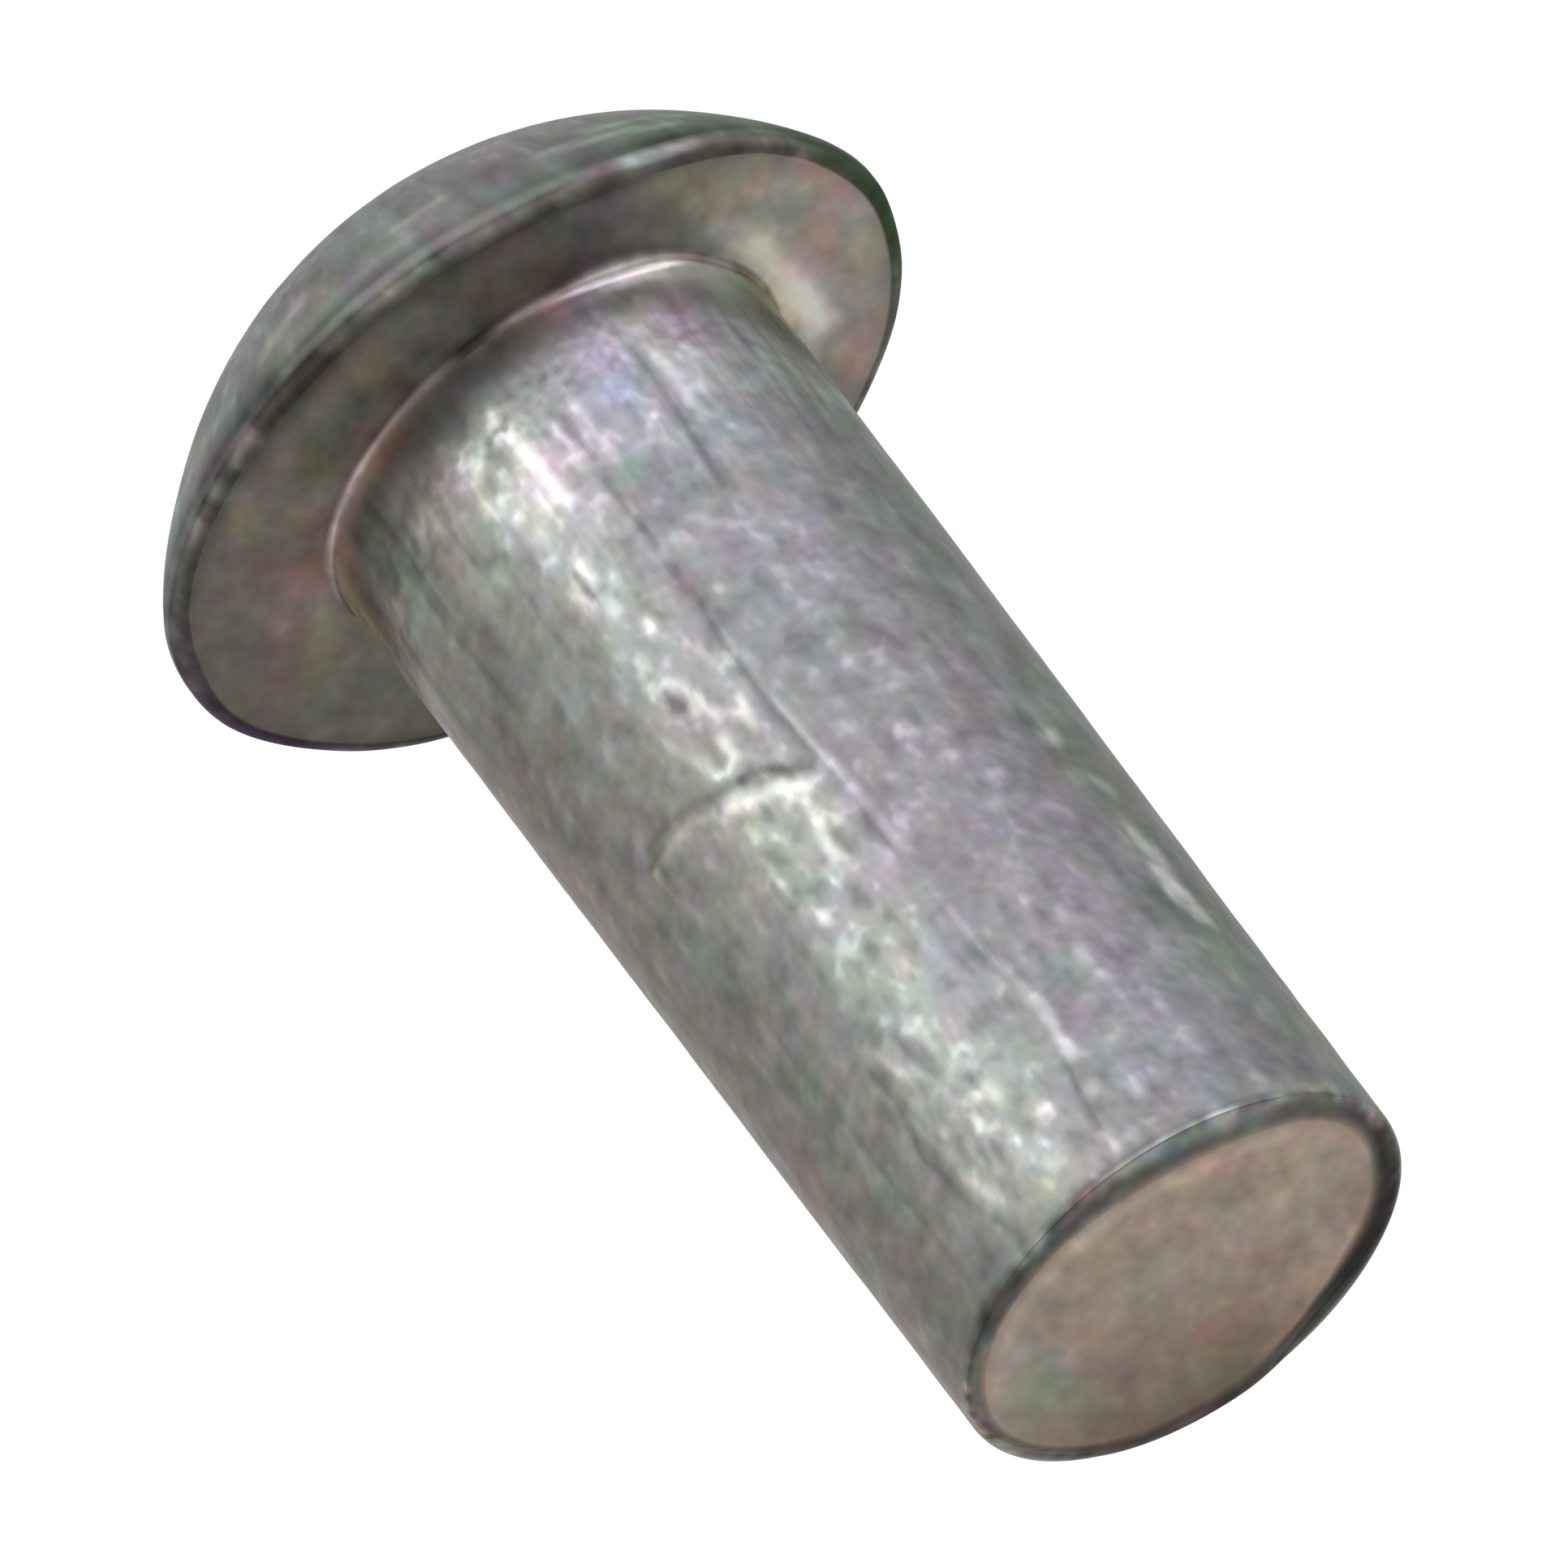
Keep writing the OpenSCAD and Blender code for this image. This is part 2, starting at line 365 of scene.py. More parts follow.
for f in (0.06, 0.16, 0.28, 0.40, 0.52, 0.64, 0.75, 0.84, 0.90, 0.94, 0.97, 1.0):
    rho = face_r * f
    x, y = rho * sina, -rho * cosa
    z = 0.012 - 0.010 * smooth(0.80, 1.0, f) + 0.005 * (0.5 + fbm(x * 1.1, y * 1.1, 0.3, 41, 3)) * (1 - f**6)
    add(rho, z, 0.0, 0)
for t in (0.12, 0.3, 0.45, 0.6, 0.75, 0.88, 0.96, 1.0):
    x, y = face_r * sina, -face_r * cosa
    z = band_h * t**1.6 + 0.012 * noise(x * 2.2, y * 2.2, t * 1.5, 44) * t * (1 - t) * 2
    add(face_r + (band_r - face_r) * t, np.maximum(z, 0.0), 0.0, 1)
first = len(ZED)
for f in (0.012, *(np.linspace(0, 1, 13)[1:] ** 1.35)):
    add(0.0, band_h + (1.0 - band_h) * f, 0.0, 2)
z = 1.0
while z < 13.86:
    z += 0.048 if 6.35 < z < 7.75 else (0.082 if z > 11.3 else 0.094)
    add(0.0, min(z, 13.9), 0.0, 2)
last = len(ZED)
Z = np.array(ZED[first:last])
S = SEAT_Z - Z
A = np.repeat(ANG[None, :], last - first, 0)
UX = np.repeat((SHANK_R * RAD)[None, :], last - first, 0)


def stroke(points, width):
    """How strongly a stroke covers each shank vertex, 0 to 1."""
    p = np.array(points, float)
    mid_a = p[:, 0].mean()
    px, ps = SHANK_R * np.radians(p[:, 0] - mid_a), p[:, 1]
    out = np.zeros_like(S)
    reach = 3.0 * width
    rows = np.where((S.max(1) > ps.min() - reach) & (S.min(1) < ps.max() + reach))[0]
    cols = np.where(np.abs(wrap(ANG - mid_a)) < np.degrees((np.ptp(px) / 2 + reach) / SHANK_R) + 2)[0]
    if len(rows) == 0 or len(cols) == 0:
        return out
    gx = SHANK_R * np.radians(wrap(ANG[cols] - mid_a))[None, :] * np.ones((len(rows), 1))
    gs = S[np.ix_(rows, cols)]
    best = np.full(gx.shape, 1e9)
    for k in range(len(p) - 1):
        dx, ds = px[k + 1] - px[k], ps[k + 1] - ps[k]
        t = np.clip(((gx - px[k]) * dx + (gs - ps[k]) * ds) / (dx * dx + ds * ds + 1e-9), 0, 1)
        best = np.minimum(best, np.hypot(gx - px[k] - t * dx, gs - ps[k] - t * ds))
    # a ragged edge
    rag = 1 + 0.45 * noise(gx * 7 + mid_a, gs * 5.0, 0 * gs, 61)
    out[np.ix_(rows, cols)] = bell(best, width * rag)
    return out


gain = np.ones_like(S)
relief = np.zeros_like(S)
shine = np.zeros_like(S)
for points, width, height, factor in MARKS:
    m = stroke(points, width * 1.14)
    gain *= 1 + (0.94 * factor - 0.94) * m
    relief += 0.00075 * height * m
    shine += m * (0.07 if factor > 1 else -0.05)
gain = np.clip(gain, 0.34, 2.15)

gx, gy = SHANK_R * sina[None, :] * np.ones_like(S), -SHANK_R * cosa[None, :] * np.ones_like(S)
relief += 0.010 * fbm(gx * 0.9, gy * 0.9, S * 0.16, 21, 2)
relief += 0.0045 * fbm(gx * 4.2, gy * 4.2, S * 0.38, 22, 2)
relief += 0.0060 * fbm(gx * 2.8, gy * 2.8, S * 2.0, 23, 3)
# the lap's lower side stands a little proud
c = np.interp(A, [-46, -44, -30, -16, -4, 4, 6], [6.35, 6.52, 6.58, 6.90, 7.22, 7.44, 7.6])
relief += 0.008 * smooth(-47, -43, A) * (1 - smooth(3.5, 5.5, A)) * smooth(-0.05, 0.1, S - c) * (1 - smooth(0.5, 2.4, S - c))
fade = smooth(0.05, 0.5, S) * smooth(0.0, 0.35, Z - band_h[None, :] + 0.03)
relief *= fade
for k in range(last - first):
    RHO[first + k] = shank_r(Z[k]) + relief[k]

neck_f = 0.10 + 0.025 * bell(ANG - 38, 17) + 0.02 * ring_noise(5.0, 45)
for t in np.radians(np.linspace(8, 90, 6)):
    add(neck_r + neck_f * (1 - np.cos(t)), SEAT_Z - neck_f * (1 - np.sin(t)), 0.0, 3)

seat_out = head_r - edge_round
for f in np.linspace(0, 1, 16)[1:] ** 0.85:
    rho = neck_r + neck_f + (seat_out - neck_r - neck_f) * f
    x, y = rho * sina, -rho * cosa
    z = SEAT_Z + 0.010 * bell(f - 0.5, 0.4) + 0.004 * fbm(x * 0.8, y * 0.8, 0.9, 42, 2)
    z = z + 0.004 * fbm(x * 2.6, y * 2.6, 0.4, 43, 2) * (1 - smooth(0.9, 1.0, f))
    add(rho, z, HEAD_SHIFT * smooth(3.15, 4.4, rho), 4)
for t in np.radians(np.linspace(10, 84, 8)):
    rho = seat_out + edge_round * np.sin(t)
    z = SEAT_Z + edge_round * (1 - np.cos(t)) * 0.86
    add(rho, z, HEAD_SHIFT, 5)
dome_h = CROWN_Z - SEAT_Z - RIM_TOP
dome_r = (HEAD_R**2 + dome_h**2) / (2 * dome_h)
half = math.asin(HEAD_R / dome_r)
for a in np.linspace(half, 0, 44)[:-1]:
    rho0 = dome_r * math.sin(a)
    blend = smooth(0.75, 1.0, a / half)
    rho = rho0 * (1 + (head_r / HEAD_R - 1) * blend)
    z = CROWN_Z - dome_r * (1 - math.cos(a))
    x, y = rho * sina, -rho * cosa
    d = 0.012 * fbm(x * 0.5, y * 0.5, 0.2, 51, 2) + 0.005 * fbm(HEAD_R * sina * 1.6, HEAD_R * cosa * 0.9, z * 0.6, 52, 2) * smooth(0.1, 0.5, a / half)
    d = d + 0.010 * bell(a / half - 0.93, 0.035) * bell(ANG - 40, 16) * (0.6 + 0.4 * ring_noise(4.0, 53))
    d = d + DOME_FULL * np.sin(np.pi * min(1.0, (1 - a / half) / 0.9)) * (a > 0)
    add(rho + d * math.sin(a), z + d * math.cos(a) * smooth(0.0, 0.3, a / half), HEAD_SHIFT, 6)

R = len(RHO)
DOME0 = R - 43
RHO, ZED, SHIFT = np.array(RHO), np.array(ZED), np.array(SHIFT)
ZONE = np.repeat(np.array(ZONES)[:, None], N, 1)
X = RHO * sina[None, :] + SHIFT
Y = -RHO * cosa[None, :]
# where the noises are read, in mm: squeezed along Y and Z, and let out along the dome's flank, so
# that the mottling is even as the main view sees it
PLACE = np.stack([X, 0.56 * Y, 0.75 * ZED], -1)
span = np.linspace(0, 1, 44)[:-1] * half * dome_r  # along the dome from its rim
q = span / (half * dome_r)
real_r = dome_r * np.sin(half * (1 - q))
wide_r = real_r + (HEAD_R - 0.15 * span - real_r) * (1 - smooth(0.22, 0.62, q))
PLACE[DOME0:, :, 0] = wide_r[:, None] * sina[None, :] + HEAD_SHIFT
PLACE[DOME0:, :, 1] = -((0.56 + 0.44 * smooth(0.2, 0.6, q)) * wide_r)[:, None] * cosa[None, :]
PLACE[DOME0:, :, 2] = 0.75 * (SEAT_Z + RIM_TOP) + (0.42 + 0.40 * smooth(100, 145, np.abs(ANG)))[None, :] * span[:, None]
verts = np.empty((R * N + 2, 3))
verts[: R * N, 0], verts[: R * N, 1], verts[: R * N, 2] = X.ravel(), Y.ravel(), ZED.ravel()
verts[R * N] = (0, 0, ZED[0].mean())
verts[R * N + 1] = (HEAD_SHIFT, 0, CROWN_Z)

i = np.arange(R - 1)[:, None] * N
j = np.arange(N)[None, :]
j2 = (j + 1) % N
quads = np.stack([i + j, i + j2, i + N + j2, i + N + j], -1).reshape(-1, 4)
j = np.arange(N)
j2 = (j + 1) % N
tail = np.stack([np.full(N, R * N), j2, j], -1)
top = (R - 1) * N
crown = np.stack([np.full(N, R * N + 1), top + j, top + j2], -1)
faces = [tuple(q) for q in quads.tolist()] + [tuple(t) for t in tail.tolist()] + [tuple(t) for t in crown.tolist()]

mesh = bpy.data.meshes.new("rivet_skin")
mesh.from_pydata((verts * MM).tolist(), [], faces)
mesh.validate()
mesh.update()
mesh.shade_smooth()
rivet = bpy.data.objects.new("rivet_skin", mesh)
bpy.context.scene.collection.objects.link(rivet)
print("rows", R, "columns", N, "triangles", 2 * len(quads) + 2 * N)

# ---------------------------------------------------------------- painted zones
# tint: base colour; rough: roughness; fleck: how much it is speckled with bright flecks, which are
# painted glints, and pits; drawn: how strongly it is drawn in lines along the axis; stain: how much
# its colour wanders
tint = np.ones((R, N, 3)) * 0.5
rough = np.full((R, N), 0.30)
fleck = np.full((R, N), 0.5)
drawn = np.zeros((R, N))
stain = np.full((R, N), 0.8)
ANGS = np.repeat(ANG[None, :], R, 0)
SDIST = SEAT_Z - ZED


def rgb(*v):
    return np.array(v, float)


def hue_curve(a, pts):
    a0 = [p[0] for p in pts]
    return np.stack([np.interp(a, a0, [p[1][k] for p in pts]) for k in range(3)], -1)


# shank: warm at the far left, greenish grey, neutral in the middle, violet grey, greenish again; partly the metal's own
# cast and partly a painted tint of the coloured light on each side
sh = slice(first, last)
hue = hue_curve(A, [(-180, (1.0, 1.0, 0.94)), (-95, (1.10, 0.97, 0.88)), (-74, (1.12, 0.98, 0.87)), (-62, (1.05, 0.99, 0.91)), (-50, (1.01, 1.01, 0.91)), (-30, (0.99, 1.01, 0.91)), (-14, (0.98, 1.01, 0.95)), (-2, (1.01, 1.0, 1.0)), (12, (1.0, 0.99, 1.06)), (34, (1.015, 0.985, 1.09)), (48, (1.02, 0.99, 1.06)), (58, (0.97, 1.01, 0.98)), (70, (0.95, 1.03, 0.92)), (95, (0.97, 1.02, 0.93)), (180, (1.0, 1.0, 0.94))])
level = 0.42 * np.ones_like(S)
# painted light and shade under the head: brighter just under it, where the head shades the shank, and darker round the
# very top at the left, where the shank mirrors the dark bearing face
level *= 1 + 0.22 * bell(S - 1.5, 0.9) * smooth(95, 70, np.abs(A)) + 0.50 * bell(A + 9, 12) * bell(S - 1.6, 0.9) + 0.22 * bell(A - 20, 16) * bell(S - 1.5, 0.9) + 0.25 * bell(A - 41, 10) * bell(S - 1.0, 0.9)
near = smooth(-28, -14, A) * (1 - smooth(44, 62, A)) * (np.abs(A) < 100)
centre = np.interp(A, [-30, -20, -10, 0, 10, 30, 60], [1.0, 0.95, 0.85, 0.75, 0.78, 0.65, 0.65])
level *= 1 + (0.10 * near + 0.15 * bell(A - 36, 12)) * bell(S - centre, 0.30)
# a painted highlight along the junction with the head, then more painted shade and light near the head
level *= 1 + (0.9 * bell(A - 46, 20) + 0.8 * bell(wrap(A + 62), 26)) * bell(S - 0.17, 0.14)
level *= 1 - 0.52 * bell(A + 28, 22) * bell(S - 0.36, 0.30)
level *= 1 + 0.42 * bell(A + 29, 12) * bell(S - 1.12, 0.26)
level *= 1 - 0.38 * bell(A + 6, 12) * bell(S - 0.45, 0.34)
level *= 1 - 0.20 * bell(A - 52, 9) * bell(S - 1.6, 0.5)
level *= 1 + 0.6 * bell(A + 82, 8) * bell(S - 0.65, 0.35) + 0.45 * bell(A + 41, 6) * bell(S - 1.12, 0.25) + 0.35 * bell(A, 5) * bell(S - 1.05, 0.15)
level *= 1 - 0.42 * bell(A + 12, 8) * bell(S - 0.65, 0.3) - 0.38 * bell(A + 26, 9) * bell(S - 0.6, 0.22) - 0.35 * bell(A + 41, 5) * bell(S - 0.35, 0.12)
level *= 1 + 0.55 * bell(A - 50, 12) * bell(S - 0.32, 0.2) + 0.40 * bell(A - 60, 8) * bell(S - 0.7, 0.4) + 0.7 * bell(A - 77, 12) * bell(S - 0.12, 0.2)
level *= 1 + 0.45 * bell(A + 61, 7) * bell(S - 0.9, 0.7)
level *= 1 - 0.08 * bell(A + 66, 14) * smooth(2.0, 4.0, S)
level *= 1 - 0.07 * bell(A - 36, 18) * smooth(4.0, 6.0, S)
level *= 1 + 0.10 * bell(A - 68, 9) * smooth(8.5, 10.5, S)
level *= 1 + 0.14 * bell(wrap(A - 180), 70) * bell(S - 1.5, 1.2)
# lilac scouring marks and other faint stains
hue = hue * (1 + 1.1 * (bell(A - 19, 8) * bell(S - 1.35, 0.85))[..., None] * (rgb(0.97, 0.97, 1.10) - 1))
hue = hue * (1 + (bell(A - 42, 6) * bell(S - 0.95, 0.38))[..., None] * (rgb(1.09, 0.91, 1.12) - 1))
hue = hue * (1 + (bell(A - 16, 4) * bell(S - 12.0, 0.3) + bell(A - 21, 3) * bell(S - 12.9, 0.15))[..., None] * (rgb(1.06, 0.93, 1.06) - 1))
hue = hue * (1 + (bell(A - 63, 6) * bell(S - 11.5, 0.4))[..., None] * (rgb(0.86, 1.06, 0.86) - 1))
hue = hue * (1 + (bell(A - 4, 3) * bell(S - 4.1, 0.3))[..., None] * (rgb(1.08, 0.93, 0.98) - 1))
hue = hue * (1 + (bell(A + 48, 6) * bell(S - 1.3, 0.35) + bell(A - 10, 5) * bell(S - 2.6, 0.2))[..., None] * (rgb(0.90, 1.05, 0.99) - 1))
hue = hue * (1 + (bell(A + 70, 8) * bell(S - 5.2, 0.8) + bell(A + 68, 8) * bell(S - 10.5, 0.9))[..., None] * (rgb(1.08, 0.96, 0.98) - 1))
# painted reflection of the brown bearing face in the shank just under the head
brown = bell(A + 30, 16) * bell(S - 0.16, 0.20) + 0.55 * bell(A + 76, 14) * bell(S - 0.25, 0.3) + 0.8 * bell(A - 15, 9) * bell(S - 0.18, 0.20) + 0.4 * bell(A - 50, 14) * bell(S - 0.15, 0.2)
hue = hue * (1 + brown[..., None] * (rgb(1.38, 0.88, 0.86) - 1))
# olive tint of the painted shade on the shank's limbs under the head
limb_shade = 0.5 * bell(wrap(A + 82), 20) * bell(S - 0.5, 0.9) + 1.2 * bell(wrap(A - 80), 14) * bell(S - 0.4, 0.6)
hue = hue * (1 + limb_shade[..., None] * (rgb(0.93, 1.02, 0.80) - 1))
# painted light on the left limb under the head; below, painted shade on the right limb under the head, and darker
# towards the end
level *= 1 + 0.75 * bell(A + 80, 13) * bell(S - 0.42, 0.45)
level *= (1 - 0.10 * smooth(12.9, 13.7, S)) * (1 - 0.22 * bell(A - 84, 9) * bell(S - 0.25, 0.35))


def patchy(x, y, z, seed, amount):
    """Slow wandering of the colour: green against magenta, and teal against brown."""
    g = fbm(x, y, z, seed, 3)[..., None] * amount
    t = fbm(x + 9.1, y - 4.7, z + 3.3, seed + 5, 3)[..., None] * amount
    return (1 + g * rgb(-0.55, 0.45, -0.35)) * (1 + t * rgb(-0.60, 0.15, 0.50))


hue = hue * patchy(gx * 1.3, gy * 1.3, S * 1.0, 81, 0.10 - 0.05 * smooth(95, 130, np.abs(A))[..., None])
tint[sh] = hue * (level * gain)[..., None]
rough[sh] = 0.30 - shine
# the flecks are densest on the lit front of the shank, where their painted glints show
fleck[sh] = 0.30 + 0.70 * bell(A + 9, 18) + 0.45 * bell(A - 24, 20) + 0.25 * bell(wrap(A - 180), 75)
fleck[sh] *= smooth(0.3, 1.0, S)
drawn[sh] = 0.30 + 0.70 * smooth(4.0, 1.6, S) * smooth(0.5, 1.1, S) * (0.4 + 0.6 * smooth(-40, -15, A) * (A < 120))
stain[sh] = 1.15 - 0.5 * smooth(95, 130, np.abs(A))

# end face: taupe, mottled, duller towards its far edge, with a pale line inside the dark band
e0 = slice(0, 12)
Ae, Re = ANGS[e0], RHO[e0]
Xe, Ye = Re * np.sin(np.radians(Ae)), -Re * np.cos(np.radians(Ae))  # Ye > 0 is the far side
edge = (face_r[None, :] - Re)
base = hue_curve(Ye, [(-2.5, (1.18, 0.98, 0.80)), (0.3, (1.18, 0.97, 0.80)), (1.6, (1.22, 0.95, 0.76)), (2.5, (1.26, 0.94, 0.72))])
lev = 0.58 - 0.19 * smooth(-0.6, 2.0, Ye) - 0.05 * bell(Xe + 1.4, 0.9) * bell(Ye - 0.5, 1.2) + 0.06 * bell(Xe - 1.9, 0.7) * bell(Ye + 0.4, 1.3)
lev *= 1 + 0.13 * fbm(Xe * 1.9, Ye * 0.95, 0.1, 71, 3)
lip = bell(edge - 0.20, 0.12) * (bell(wrap(Ae + 30), 40) + bell(wrap(Ae - 42), 22)) * (0.75 + 0.4 * noise(2.6 * np.cos(np.radians(Ae)), 2.6 * np.sin(np.radians(Ae)), edge * 3, 70))
lev *= 1 + 0.30 * lip
lev *= 1 - 0.22 * smooth(0.45, 0.0, edge) * smooth(-120, -150, Ae)
lev *= 1 + 0.75 * bell(Xe - 1.55, 0.75) * bell(Ye - 1.6, 0.65)
green = bell(Xe + 1.9, 0.5) * bell(Ye - 0.1, 1.0) + 0.8 * bell(Xe + 0.6, 0.6) * bell(Ye - 1.9, 0.4)
red = bell(Xe + 1.2, 0.35) * bell(Ye - 0.2, 0.7) + 1.2 * bell(Xe - 0.1, 0.9) * bell(Ye - 1.35, 0.6) + 0.6 * bell(Xe - 1.3, 0.5) * bell(Ye + 1.4, 0.4)
base = base * (1 + green[..., None] * (rgb(0.80, 1.05, 0.97) - 1)) * (1 + red[..., None] * (rgb(1.08, 0.94, 0.97) - 1))
base = base * patchy(Xe * 2.4, Ye * 1.2, 0.5 + 0 * Xe, 82, 0.12)
tint[e0] = base * (0.84 * lev)[..., None]
rough[e0], fleck[e0], stain[e0] = 0.50, 0.12, 1.0
END_TINT = tuple(tint[0].mean(0))

# the band: near black and bluish in front, brown and green at the far side, thin at the left; its darkness is partly
# its own colour and partly painted shade of the rolled-over edge
e1 = slice(12, 20)
Ab = ANGS[e1]
T = (RHO[e1] - face_r) / (band_r - face_r)
front_w = bell(wrap(Ab - 8), 68)
dark = knots(Ab, [(-180, 0.13), (-160, 0.10), (-145, 0.15), (-130, 0.11), (-115, 0.22), (-100, 0.27), (-80, 0.40), (-62, 0.46), (-42, 0.28), (-20, 0.36), (0, 0.26), (20, 0.24), (40, 0.38), (60, 0.26), (80, 0.20), (95, 0.10), (110, 0.05), (122, 0.045), (131, 0.018), (139, 0.006), (147, 0.02), (160, 0.075)])
worn = knots(Ab, [(-180, 0.14), (-130, 0.14), (-110, 0.25), (-95, 0.40), (-80, 0.50), (-60, 0.48), (-42, 0.30), (-22, 0.75), (0, 0.75), (20, 0.95), (34, 0.75), (46, 0.60), (60, 0.36), (80, 0.60), (92, 0.25), (105, 0.09), (130, 0.03), (145, 0.03), (160, 0.09)])
dark = dark + (worn - dark) * smooth(0, 1, (RHO[e1] - core_r) / (band_r - core_r) - 0.35 * noise(9 * np.cos(np.radians(Ab)), 9 * np.sin(np.radians(Ab)), 0.5 + 0 * Ab, 89))
rb, sb = np.cos(np.radians(Ab)), np.sin(np.radians(Ab))
dark = dark * (1 + 0.75 * fbm(6.0 * rb, 6.0 * sb, T * 1.5, 72, 3)) * (1 + 0.5 * smooth(0.5, 1.0, T) * noise(17 * rb, 17 * sb, T * 2.0, 88))
rise = np.clip(1.3 * (1 - T) ** 4, 0, 1)[..., None]
band = rgb(0.96, 1.0, 1.02) * front_w[..., None] + rgb(1.08, 0.97, 0.82) * (1 - front_w[..., None])
band = band * patchy(9.0 * rb, 9.0 * sb, T * 1.5, 86, 0.36) * 0.86 * dark[..., None]
tint[e1] = band * (1 - rise) + tint[11:12] * rise
tint[e1] = np.clip(tint[e1], 0.004, 1)
rough[e1], fleck[e1], stain[e1] = 0.60, 0.1, 1.4
# the side just above the band is dark for a little way, then clears
wide = 0.05 + 0.12 * bell(wrap(A - 60), 14) + 0.12 * bell(wrap(A - 135), 30) + 0.17 * bell(wrap(A + 43), 18)
clear = smooth(0.0, 1.0, (Z - band_h[None, :] - 0.02) / wide)[..., None]
tint[sh] = tint[sh] * clear + tint[19:20] * (1 - clear)
# painted shade: the lowest rows of the side are darkened further, damping the light the rounding catches
rag = 0.16 + 0.10 * ring_noise(11.0, 18)[None, :]
dip = knots(A, [(-180, 0.0), (-100, 0.1), (-80, 0.15), (-60, 0.0), (-42, 0.34), (-22, 0.52), (0, 0.56), (12, 0.45), (20, 0.10), (30, 0.30), (40, 0.58), (60, 0.62), (80, 0.34), (100, 0.0)])
tint[sh] *= (1 - dip * smooth(rag, 0.0, Z - band_h[None, :]))[..., None]
rough[sh] = rough[sh] + 0.28 * (1 - smooth(0.0, 0.30, Z - band_h[None, :]))

# neck: a thin painted highlight along the fillet, slightly reddish and whitest at the right front
nk = ZONE == 3
An = ANGS[nk]
line = knots(An, [(-180, 0.30), (-115, 0.16), (-92, 0.18), (-78, 0.28), (-66, 0.46), (-50, 0.54), (-30, 0.50), (-14, 0.42), (-7, 0.20), (-2, 0.12), (3, 0.18), (8, 0.44), (13, 0.46), (21, 0.55), (32, 0.70), (42, 0.75), (52, 0.46), (62, 0.30), (72, 0.30), (80, 0.34), (90, 0.45), (104, 0.42), (116, 0.30), (150, 0.25)])
line *= 1 + 0.60 * fbm(8 * np.cos(np.radians(An)), 8 * np.sin(np.radians(An)), 3.0 * ZED[nk], 84, 2)
white_w = bell(An - 38, 14)[:, None]
moss = bell(wrap(An - 93), 13)[:, None]
tint[nk] = (rgb(1.16, 0.96, 0.90) * (1 - white_w) + rgb(1.03, 1.0, 0.97) * white_w) * (1 + moss * (rgb(0.85, 1.02, 0.62) - 1)) * line[:, None]
rough[nk], fleck[nk] = 0.50, 0.1

# bearing face
bf = ZONE == 4
Aj, Rj = ANGS[bf], RHO[bf]
Xj, Yj = Rj * np.sin(np.radians(Aj)), -Rj * np.cos(np.radians(Aj))
# painted light and shade: the face's brightness around the shank, lifted most in the neck's shadow in front
lev = 0.31 * knots(Aj, [(-180, 0.8), (-150, 0.52), (-120, 0.66), (-75, 0.71), (-60, 0.66), (-42, 1.08), (-22, 1.45), (-8, 1.90), (3, 1.72), (13, 1.18), (20, 1.08), (30, 1.12), (40, 1.42), (52, 1.42), (68, 1.45), (90, 1.46), (120, 1.28), (150, 1.0)])
lev *= 1 + knots(Aj, [(-180, 0.3), (-80, 0.2), (-60, 0.3), (-40, 2.0), (-20, 4.0), (0, 3.2), (14, 2.4), (26, 1.4), (40, 0.3), (60, 0.3), (80, 0.4)]) * bell(Rj - 3.05, 0.17)
# a painted pool of light on the right lobe beside the shank
lit_patch = bell(Xj - 3.29 - 0.06 * Yj, 0.25) * smooth(-1.7, -0.9, Yj) * (1 - smooth(1.2, 1.9, Yj)) * (Xj > 0)
lev *= 1 + 1.25 * lit_patch
# painted shade in the wedge beside the shank's right side
shade_wedge = bell(Xj - 3.02, 0.10) * smooth(-0.45, 0.1, Yj) * (1 - smooth(1.1, 1.7, Yj)) * (Xj > 0)
lev *= 1 - 0.40 * shade_wedge
lev *= 1 + 0.14 * noise(10 * np.cos(np.radians(Aj)), 10 * np.sin(np.radians(Aj)), Rj * 0.7, 73) * smooth(40, 62, Aj) * (1 - smooth(72, 84, Aj)) * smooth(3.3, 3.9, Rj)
lev *= 1 + 0.26 * fbm(Xj * 2.2, Yj * 1.1, 0.4, 74, 3)
lev *= 1 - 0.22 * bell(Aj - 58, 12) * smooth(4.2, 4.6, Rj) - 0.15 * bell(Aj - 36, 9) * smooth(4.4, 4.7, Rj)
# painted light lifting the face beside the neck at the left and the right
lev *= 1 + 0.34 * bell(wrap(Aj + 88), 17) * bell(Rj - 3.3, 0.42) + 0.75 * bell(Aj + 42, 15) * bell(Rj - 3.35, 0.3) + 0.30 * bell(Aj - 62, 8) * bell(Rj - 3.6, 0.3)
right = smooth(45, 80, Aj) * (Aj < 150)
left = smooth(-25, -70, Aj)
hj = rgb(1.10, 0.99, 0.85)[None] * (1 - left - right)[:, None] + (rgb(1.20, 0.955, 0.82)[None] + smooth(-78, -104, Aj)[:, None] * rgb(-0.13, 0.045, -0.03)[None]) * left[:, None] + rgb(1.13, 0.975, 0.86)[None] * right[:, None]
hj = hj * (1 + lit_patch[:, None] * (rgb(0.96, 0.99, 0.99) - 1)) * (1 + shade_wedge[:, None] * (rgb(0.88, 1.04, 0.80) - 1))
mott = fbm(Xj * 0.9, Yj * 0.9, 3.4, 75, 2)
hj = hj * (1 + np.clip(mott, 0, 1)[:, None] * 1.0 * (rgb(1.10, 0.93, 0.98) - 1)) * (1 + np.clip(-mott, 0, 1)[:, None] * 1.4 * (rgb(0.92, 1.04, 0.92) - 1))
